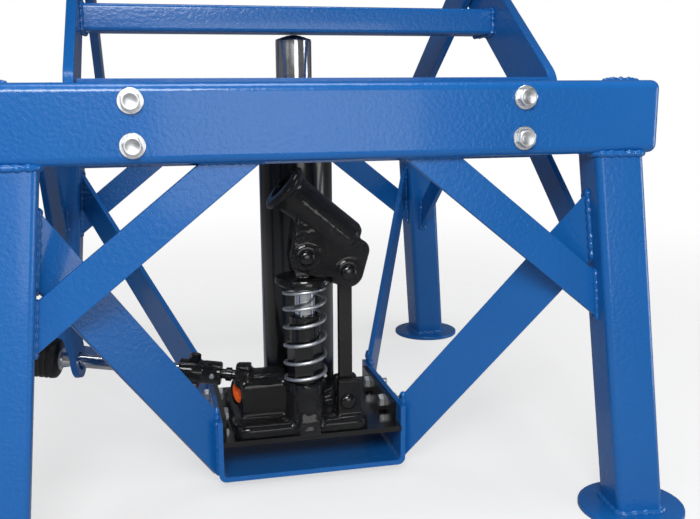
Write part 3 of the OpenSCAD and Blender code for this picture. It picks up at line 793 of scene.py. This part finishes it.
def scissor_pins():
    """Headed pins of the pivots, and the axles with the collars that space their rollers."""
    (front_in, _, _), (front_out, _, _) = span("front_arm_right")
    (rear_in, _, _), (rear_out, _, _) = span("rear_arm_right")
    (wheel_in, _, _), (wheel_out, _, _) = span("lower_roller_right")
    for name, body, node, x0, x1, head, thick, at in (
            ("crossing_pins", "front_arms", "centre_pins", rear_in - PIN_GAP, front_out + PIN_GAP, 8, 3.5,
             CROSSING),
            ("pivot_pins", "stand", "lower_pivot_pins", rear_in + 0.2, front_out + PIN_GAP, 8, 3.5, PIVOT),
            ("hinge_pins", "rear_arms", "platform_hinge_pins", rear_in - PIN_GAP, front_in + 6.8, 7, 2.5,
             HINGE)):
        pin = headed(x0, x1, PIN_RADIUS, head, thick).at(0, at.y, at.z)
        piece(name, body, ZINC, both(pin), node)
    collar, play = 8, 0.4
    for name, body, node, arm_in, arm_out, at in (
            ("lower_axles", "rear_arms", "lower_roller_axles", rear_in, rear_out, LOWER_AXLE),
            ("top_axles", "front_arms", "top_roller_axles", front_in, front_out, TOP_AXLE)):
        axle = headed(arm_in - PIN_GAP, wheel_out + play, PIN_RADIUS, 7, 2)
        spacer = rod(collar, wheel_in - play - arm_out - PIN_GAP, 0.6)
        spacer = spacer.moved(towards((arm_out + PIN_GAP, 0, 0), X))
        piece(name, body, ZINC, both((axle + spacer).at(0, at.y, at.z)), node)


def rollers():
    low, high = span("lower_roller_right")
    wide, radius, bore = high.x - low.x, (high.z - low.z) / 2, PIN_RADIUS + 0.1
    edge, hub = 1.2, 7.0
    wheel = turned([(bore, wide - 0.8), (6.6, wide - 0.8), (hub, wide), (radius - edge, wide),
                    (radius, wide - edge), (radius, edge), (radius - edge, 0), (hub, 0), (6.6, 0.8),
                    (bore, 0.8)], 56, ring=True).moved(towards((low.x, 0, 0), X))
    for level, at in (("lower", LOWER_AXLE), ("top", TOP_AXLE)):
        right = wheel.at(0, at.y, at.z)
        for side, shape in (("right", right), ("left", right.mirrored())):
            piece(f"{level}_{side}_roller_wheel", f"{level}_{side}_roller", NYLON,
                  shape, f"{level}_roller_{side}")


def platform():
    piece("platform_side_channels", "platform", BLUE, cad_shape("platform_channels"),
          "platform_channels", bevel=0.6)
    piece("platform_cross_bars", "platform", BLUE, cad_shape("platform_bars"), "platform_bars",
          bevel=0.8)
    low, high = span("platform_bars")
    edge = span("platform_channels")[1].x - 36
    bar, weld, set_in = 50, 1.3, 2
    welds = Shape([], [])
    for seed, y in enumerate((low.y, (low.y + high.y) / 2 - bar / 2, high.y - bar)):
        line = [Vector((edge, y + set_in, high.z)), Vector((edge, y + bar - set_in, high.z))]
        welds += both(bead(line, weld, False, seed=110 + seed))
    piece("platform_welds", "platform", BLUE, welds, smooth=60)


def platform_pads():
    """Two rubber pads with grooves along them."""
    low, high = span("platform_pads")
    wide, ribs, deep = 40, 7, 2
    pitch = wide / ribs
    pads = Shape([], [])
    for start in (low.y, high.y - wide):
        outline = [(start, low.z), (start + wide, low.z)]
        for i in range(ribs - 1, -1, -1):
            a = start + i * pitch
            outline += [(a + pitch - 0.8, high.z), (a + 0.8, high.z)]
            if i:
                outline += [(a + 0.3, high.z - deep), (a - 0.3, high.z - deep)]
        outline[2] = (start + wide, high.z)
        outline[-1] = (start, high.z)
        pads += plate_yz(outline, low.x, high.x)
    piece("platform_rubber_pads", "platform", RUBBER, pads, "platform_pads", bevel=0.5)


# Axis of the release rod, which the valve, its coupling and the knob share.
ROD_START = joint_place("release_turn")
ROD_AXIS = Vector(joints["release_turn"]["axis"]).normalized()


def casting_foot(low, ram):
    """Foot of the jack with its flange edge, and the boss under the reservoir."""
    right, front, back, corner = 46, low.y + 5.5, ram.y + 35, 10
    x, y = (low.x + right) / 2, (front + back) / 2
    foot = loft([[(x + a, y + b, low.z + h)
                  for a, b in round_outline(right - low.x - 2 * s, back - front - 2 * s, corner - s)]
                 for h, s in ((0, 0), (7, 0), (10.5, 2.5))])
    boss = turned([(0, 19), (31, 19), (34, 17), (36, 8), (37, 0), (0, 0)])
    return foot + boss.at(ram.x, ram.y, low.z)


def pump_tower(low, pump, top):
    """Round tower of the pump, with the rib that runs down from it to the front."""
    tower = turned([(0, top), (14.8, top), (15.8, top - 1.5), (16, top - 8), (14.8, top - 12), (15.4, 12),
                    (18, 4), (0, 4)])
    half = 9
    rib = loft([[(pump.x + x, y, low.z + h)
                 for x, y in ((-half + s, low.y + s * 1.6), (half - s, low.y + s * 1.6),
                              (half - s, pump.y), (-half + s, pump.y))]
                for h, s in ((0, 0), (12, 1), (24, 3))])
    return tower.at(pump.x, pump.y, low.z) + rib


def valve_block(z0, plug, facing):
    """Arched block of the release valve, with the bosses of its plug and stem."""
    y, arch, corner = ROD_START.y, 12.5, 2.5
    outline = hull_outline([(y - 2, z0 + 34, arch), (y + 2, z0 + 34, arch),
                            (y - 12, z0 + 4, corner), (y + 12, z0 + 4, corner)], 48)
    valve = plate_yz(outline, ROD_START.x + 2.5, ROD_START.x + 39)
    plug_boss = turned([(0, 17), (11, 17), (12, 15.6), (12.4, 13), (12.4, 0), (0, 0)])
    stem_boss = turned([(0, 12), (9, 12), (10.5, 10), (11.5, 0), (0, 0)])
    return (valve + plug_boss.moved(towards(plug - facing * 13, facing))
            + stem_boss.moved(towards(ROD_START - ROD_AXIS * 11, ROD_AXIS)))


def link_ears(z0):
    """Two ears that hold the link's foot pin, and the web between them."""
    low, high = span("link_bar")
    pin = middle("link_foot_pin")
    thick, gap = 8, 0.7
    outline = hull_outline([(pin.x + x, z0 + z, 2.5) for x in (-5.5, 8.5) for z in (3, 38)], 32)
    front = plate_xz(outline, low.y - thick, low.y - gap)
    back = plate_xz(outline, high.y + gap, high.y + thick)
    lug = hull_outline([(pin.x - 1, z0 + 5, 5), (pin.x + 7, z0 + 5, 5), (pin.x - 18, z0 + 8, 6)], 24)
    return front + back + plate_xz(lug, low.y - 5, high.y + 6)


def jack_casting():
    """Foot, pump tower, valve block and link ears of the jack, cast in one, and the orange plug."""
    low = span("jack_base")[0]
    ram, pump = middle("jack_reservoir"), middle("pump_gland")
    tower_top = span("pump_gland")[0].z
    plug, turn = middle("release_plug"), math.radians(20)
    facing = Vector((-math.cos(turn), -math.sin(turn), 0))
    seat = plug - facing * 3
    shape = (casting_foot(low, ram) + pump_tower(low, pump, tower_top - low.z)
             + valve_block(low.z, plug, facing) + link_ears(low.z))
    bore, pump_depth, sharp = 9.2, 30, 0.1
    cuts = [rod(bore, pump_depth + 10, sharp).at(pump.x, pump.y, tower_top - pump_depth),
            rod(bore, 14, sharp).moved(towards(seat, facing))]
    casting("jack_base_casting", "stand", shape, cuts, "jack_base", voxel=1.2, rounds=3)
    ring = turned([(6.6, 5.6), (8.1, 6.0), (8.9, 5.3), (8.9, 0), (6.6, 0)], 48, ring=True)
    face = turned([(0, 4.4), (2.0, 4.4), (2.4, 3.2), (5.3, 3.2), (5.7, 4.6), (6.8, 4.6), (6.8, 0),
                   (0, 0)], 48)
    cap = (ring + face).moved(towards(seat, facing))
    piece("orange_plug", "stand", ORANGE, cap, "release_plug")


def reservoir():
    low, high = span("jack_reservoir")
    ram = (low + high) / 2
    tall, radius, wall, weld, steps = high.z - low.z, (high.x - low.x) / 2, 3, 1.6, 60
    shape = turned([(radius - wall, tall), (radius - 0.8, tall), (radius, tall - 0.8), (radius, 12),
                    (radius - 0.4, 11), (radius, 10), (radius, 0), (radius - wall, 0)], 96, ring=True)
    piece("oil_reservoir", "stand", BLACK, shape.at(ram.x, ram.y, low.z), "jack_reservoir")
    out = radius + 0.2
    seam = [Vector((ram.x + out * math.cos(a), ram.y + out * math.sin(a), low.z + 9.5))
            for a in [2 * math.pi * i / steps for i in range(steps)]]
    piece("reservoir_weld", "stand", BLACK, bead(seam, weld, seed=120), smooth=60)


def top_nut():
    """Top nut of the reservoir, with six lugs for its spanner."""
    ram = middle("jack_reservoir")
    low, high = span("jack_top_nut")
    ram_low, ram_high = span("jack_ram")
    outer, tall, inner = (high.x - low.x) / 2, high.z - low.z, (ram_high.x - ram_low.x) / 2 + 0.3
    shape = turned([(inner, tall - 1), (inner + 1, tall), (inner + 6, tall), (inner + 7, tall - 1.4),
                    (outer - 6, tall - 1.4), (outer - 2, tall - 2.6), (outer, tall - 4.5), (outer, 1),
                    (outer - 1, 0), (inner, 0)], 96, ring=True)
    nut = shape.at(ram.x, ram.y, low.z)
    reach, lugs = outer - 1, 6
    for i in range(lugs):
        a = math.radians(360 / lugs * i + 15)
        foot = Matrix.Translation((ram.x + reach * math.cos(a), ram.y + reach * math.sin(a), low.z))
        nut += block((-4, -3, 2), (4, 1.2, tall - 4)).moved(foot @ Matrix.Rotation(a - math.pi / 2, 4, "Z"))
    piece("reservoir_top_nut", "stand", CAST, nut, "jack_top_nut")


def ram_parts():
    """Pressure tube, ram, and the domed saddle under the lift beam."""
    ram = middle("jack_reservoir")
    low, high = span("pressure_cylinder")
    radius, tall, wall = (high.x - low.x) / 2, high.z - low.z, 3.6
    shape = turned([(radius - wall, tall), (radius - 0.5, tall), (radius, tall - 0.5), (radius, 0),
                    (radius - wall, 0)], 64, ring=True)
    piece("pressure_tube", "stand", STEEL, shape.at(ram.x, ram.y, low.z),
          "pressure_cylinder")
    low, high = span("jack_ram")
    radius = (high.x - low.x) / 2
    shape = rod(radius, high.z - low.z, 0.8, 96).at(ram.x, ram.y, low.z)
    piece("chromed_ram", "ram", CHROME, shape, "jack_ram")
    low, high = span("ram_saddle")
    tall = high.z - low.z
    profile = [(0, tall), (3, tall - 0.2), (4, tall - 1.0), (5, tall - 0.5), (6.5, tall - 0.9),
               (7.5, tall - 1.7), (8.5, tall - 1.5), (10.2, tall - 2.2), (radius - 0.4, tall - 3.5),
               (radius, 0), (0, 0)]
    saddle = turned(profile, 72).at(ram.x, ram.y, low.z)
    piece("domed_saddle", "ram", SADDLE, saddle, "ram_saddle")


# Radius of the link bar's round ends.
LINK_END = 8.5


def piston_eye():
    """Middle of the hole in the pump piston's head."""
    pump = middle("pump_gland")
    return Vector((pump.x, pump.y, span("pump_piston")[1].z - 11))


def link_eye():
    """Middle of the hole at the link bar's upper end."""
    low, high = span("link_bar")
    return Vector(((low.x + high.x) / 2, middle("pump_gland").y, high.z - LINK_END))


def pump_gland():
    low, high = span("pump_gland")
    pump = (low + high) / 2
    tall, bore, outer = high.z - low.z, 8.2, 12.2
    gland = hexagon(24.6, tall * 0.62, True).moved(Matrix.Rotation(math.radians(15), 4, "Z"))
    gland += turned([(bore, tall), (outer - 1, tall), (outer, tall - 1), (outer, tall * 0.6),
                     (bore, tall * 0.6)], 56, ring=True)
    piece("pump_gland_nut", "stand", BLACK, gland.at(pump.x, pump.y, low.z), "pump_gland")


def pump_plunger():
    """Spring cap, and the piston with the flat head that its pin goes through."""
    pump, eye = middle("pump_gland"), piston_eye()
    low, high = span("spring_cap")
    wide, tall, bore = (high.x - low.x) / 2, high.z - low.z, 8.2
    cap = turned([(bore, tall), (wide - 2.4, tall), (wide - 0.7, tall - 0.7), (wide, tall - 2.4),
                  (wide, tall - 4.6), (wide - 0.6, tall - 5.2), (19.5, tall - 5.2), (18.8, 0.2), (17.8, 0),
                  (bore, 0)], 80, ring=True)
    piece("spring_cap_disc", "pump_plunger", BLACK, cap.at(pump.x, pump.y, low.z), "spring_cap")
    foot, neck, half = span("pump_piston")[0].z, high.z + 1, 5.5
    shaft = rod(8, neck - foot, 0.6, 64).at(pump.x, pump.y, foot)
    piece("pump_piston_rod", "pump_plunger", CHROME, shaft, "pump_piston")
    outline = hull_outline([(eye.x, eye.z, 11), (eye.x - 5, neck, 3), (eye.x + 5, neck, 3)], 48)
    head = plate_xz(outline, eye.y - half, eye.y + half)
    piece("pump_piston_head", "pump_plunger", BLACK, head, bevel=1.0)


def return_spring():
    """Coil spring with closed ends."""
    pump = middle("pump_gland")
    low, high = span("pump_spring")
    wire, coil, turns, per_turn, flat = 1.45, 16, 6.25, 40, 0.07
    curve = bpy.data.curves.new("spring wire", "CURVE")
    curve.dimensions = "3D"
    curve.bevel_depth = wire * MM
    curve.bevel_resolution = 3
    curve.use_fill_caps = True
    line = curve.splines.new("POLY")
    count = int(turns * per_turn)
    line.points.add(count)
    for i in range(count + 1):
        share = i / count
        rise = min(max((share - flat) / (1 - 2 * flat), 0), 1)
        rise = 0.82 * rise + 0.18 * (3 * rise ** 2 - 2 * rise ** 3)
        a = 2 * math.pi * turns * share
        z = low.z + wire + (high.z - low.z - 2 * wire) * rise
        place = Vector((pump.x + coil * math.cos(a), pump.y + coil * math.sin(a), z)) * MM
        line.points[i].co = (*place, 1)
    wound = bpy.data.objects.new("spring wire", curve)
    scene.collection.objects.link(wound)
    spring = piece("return_spring", "stand", ZINC, taken(wound), "pump_spring", smooth=60)
    stroke = joints["plunger_slide"]["range_m"]
    length = (high.z - low.z) * MM
    (length + min(stroke)) / length
    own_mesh(spring)


def handle_socket():
    """Cast socket of the pump handle, with its two ears round the piston and the link."""
    mount = mounts["handle_bore"]
    axis = Vector(mount["axis"]).normalized()
    reach = mount["dims"]["length_mm"] / 2
    mouth = Vector(mount["pos_m"]) / MM + axis * reach
    pump, piston, link = middle("pump_gland"), piston_eye(), link_eye()
    depth = 2 * reach + 8
    tube = turned([(0, 0), (17.5, 0), (19.6, -1.5), (20, -3), (19.4, -5), (17.2, -7.5), (15.6, -11),
                   (15, -18), (15, -depth + 6), (13, -depth + 1.5), (9, -depth), (0, -depth)], 64)
    tube = tube.moved(towards(mouth, axis))
    end = mouth - axis * depth
    outline = hull_outline([(piston.x, piston.z, 12), (link.x, link.z, 12), (end.x + 3, end.z - 4, 8),
                            (mouth.x + 16, mouth.z - 20, 6)], 40)
    ears = plate_xz(outline, pump.y - 12.5, pump.y + 12.5)
    bosses = Shape([], [])
    for p in (piston, link):
        bosses += rod(10.2, 27, 1.0).moved(towards((p.x, pump.y - 13.5, p.z), Y))
    # Gap between the ears for the piston's head and the link, as (x, z).
    slot = [(-34, 130), (64, 130), (64, 186), (14, 200), (-14, 200), (-34, 190)]
    half_slot, bore, cap_room, cap_depth, sharp = 6.5, 11, 23.6, 30, 0.1
    cap_top = span("spring_cap")[1].z
    cuts = [rod(bore, 2 * reach + 4, sharp).moved(towards(mouth + axis * 4, -axis)),
            plate_xz(slot, pump.y - half_slot, pump.y + half_slot),
            rod(cap_room, cap_depth, sharp).at(pump.x, pump.y, cap_top + 0.4 - cap_depth)]
    casting("handle_socket_casting", "pump_rocker", tube + ears + bosses, cuts, "handle_socket",
            voxel=1.0, rounds=3, rough=0.22)
    pins = Shape([], [])
    head = turned([(0, 2.6), (3.6, 2.4), (5.6, 1.5), (6.4, 0.2), (6.4, -1), (0, -1)], 40)
    for p in (piston, link):
        pins += rod(5, 26, 0.3).moved(towards((p.x, pump.y - 13, p.z), Y))
        pins += head.moved(towards((p.x, pump.y - 13.1, p.z), -Y))
        pins += head.moved(towards((p.x, pump.y + 12.2, p.z), Y))
    piece("socket_rivets", "pump_rocker", BLACK, pins, "socket_pins")


def rocker_link():
    """Flat link with round ends, and the rivet that it swings on."""
    low, high = span("link_bar")
    upper, foot = link_eye(), middle("link_foot_pin")
    outline = []
    for centre, start in ((upper, -50), (foot, 130)):
        outline += [(centre.x + LINK_END * math.cos(a), centre.z + LINK_END * math.sin(a))
                    for a in [math.radians(start + 280 * i / 24) for i in range(25)]]
    piece("rocker_link", "pump_link", BLACK, plate_xz(outline, low.y, high.y), "link_bar",
          bevel=0.7)
    low, high = span("link_foot_pin")
    rivet = rod(4, high.y - low.y - 4, 0.3).moved(towards((foot.x, low.y + 2.5, foot.z), Y))
    head = turned([(0, 3), (3.2, 2.8), (5.6, 1.8), (6.5, 0.4), (6.5, 0), (0, 0)], 40)
    rivet += head.moved(towards((foot.x, low.y + 3, foot.z), -Y))
    rivet += head.moved(towards((foot.x, high.y - 2.4, foot.z), Y))
    piece("link_rivet", "stand", BLACK, rivet, "link_foot_pin")


def on_rod(shape, along):
    """Puts a shape made up +Z on the release rod's axis, that far from its start."""
    return shape.moved(towards(ROD_START + ROD_AXIS * along, ROD_AXIS))


def valve_and_coupling():
    stem = turned([(0, 17), (3.4, 17), (4, 16), (4, 9), (5.4, 8.4), (5.6, 4), (4, 3.4), (4, -13),
                   (0, -13)], 40)
    piece("valve_stem", "release_valve", BLACK, on_rod(stem, 0), "release_stem")
    sleeve = turned([(5.7, 34), (8.6, 34), (9.5, 33), (9.5, 16), (9.2, 15.5), (9.2, 14.5), (9.5, 14),
                     (9.5, 1), (8.6, 0), (4.2, 0)], 56, ring=True)
    piece("rod_coupling", "release_valve", CAST, on_rod(sleeve, 12), "release_coupling")
    side = ROD_AXIS.cross(Z).normalized()
    up = side.cross(ROD_AXIS).normalized()
    at = ROD_START + ROD_AXIS * 34
    across, shank = 8, 2.5
    bolt = hexagon(across, 5, dish=0.4).moved(towards(at + up * 9.6, up))
    bolt += rod(shank, 20).moved(towards(at - up * 10, up))
    piece("coupling_bolt_head", "release_valve", BLACK, bolt, "coupling_bolt")
    nut = hexagon(across, 4, True).moved(towards(at - up * 13.4, up))
    nut += threaded(shank, 3.4, 0.8).moved(towards(at - up * 11, -up))
    piece("coupling_nut", "release_valve", ZINC, nut)
    screw = turned([(0, 1.2), (1.6, 1.2), (2.2, 0.4), (2.2, -2), (0, -2)], 24)
    screw = screw.moved(towards(ROD_START + ROD_AXIS * 19 - side * 9.2, -side))
    piece("coupling_grub_screw", "release_valve", ZINC, screw)


def rod_and_knob():
    rod_start, knob_start = 38, 139
    bar = rod(5.5, knob_start + 20 - rod_start, 0.6, 56)
    piece("chromed_rod", "release_valve", CHROMED_ROD, on_rod(bar, rod_start), "release_rod")
    piece("knob_washer_ring", "release_valve", ZINC, on_rod(washer(5.6, 9, 1.8), knob_start))
    wide, groove = 16, 15.2
    knob = [(0, 29), (11.5, 29), (13.4, 28), (14, 26.4), (14.6, 25.4), (15.6, 24.2), (wide, 22)]
    for z in (19, 15, 11, 7):
        knob += [(wide, z + 1.1), (groove, z + 0.5), (groove, z - 0.5), (wide, z - 1.1)]
    knob += [(wide, 4), (15.4, 1.4), (13.6, 0), (0, 0)]
    piece("rubber_knob", "release_valve", KNOB, on_rod(turned(knob, 72), knob_start + 2),
          "release_knob")


frame_welds = base_ring() + legs()
foot_discs()
frame_welds += braces_and_straps()
piece("frame_weld_beads", "stand", BLUE, frame_welds, smooth=60)
cradle_parts()
carrier_parts()
scissor_arms()
tubes_between_arms()
scissor_pins()
rollers()
platform()
platform_pads()
jack_casting()
reservoir()
top_nut()
ram_parts()
pump_gland()
pump_plunger()
return_spring()
handle_socket()
rocker_link()
valve_and_coupling()
rod_and_knob()
